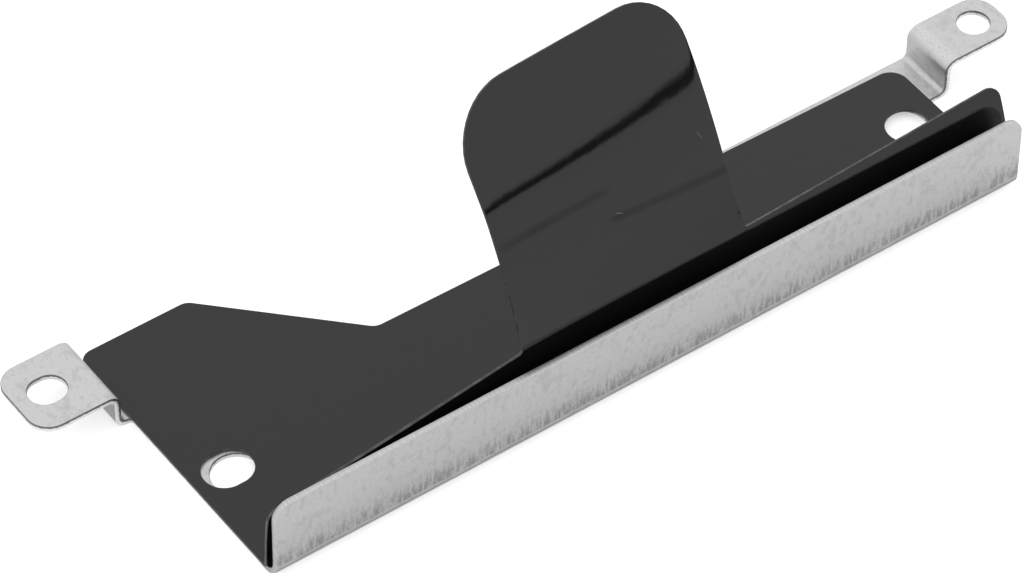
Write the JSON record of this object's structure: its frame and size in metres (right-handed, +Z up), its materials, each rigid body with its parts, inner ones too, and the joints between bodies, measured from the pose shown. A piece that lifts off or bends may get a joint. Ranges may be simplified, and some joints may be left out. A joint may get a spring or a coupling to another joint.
{
  "type": "hard drive bracket",
  "caption": "Folded steel bracket for the rear end of a small hard drive, with a flange, stepped screw ears and a black plastic film that folds up into a pull tab.",
  "frame": {"origin": "midway between the two drive screw holes, on the underside of the base plate", "axes": "+X runs along the flange towards the ear with the round hole, +Y runs from the flange towards the drive, +Z is up, out of the plate towards the drive"},
  "size_m": [0.0846, 0.0261, 0.0284],
  "materials": {
    "steel": "galvanised sheet steel, dull grey, with faint press marks along the bend",
    "black_film": "black polyester film, smooth with a soft sheen and fine scratches"
  },
  "bodies": {
    "root": {"bracket": "steel", "film": "black_film"}
  },
  "joints": []
}
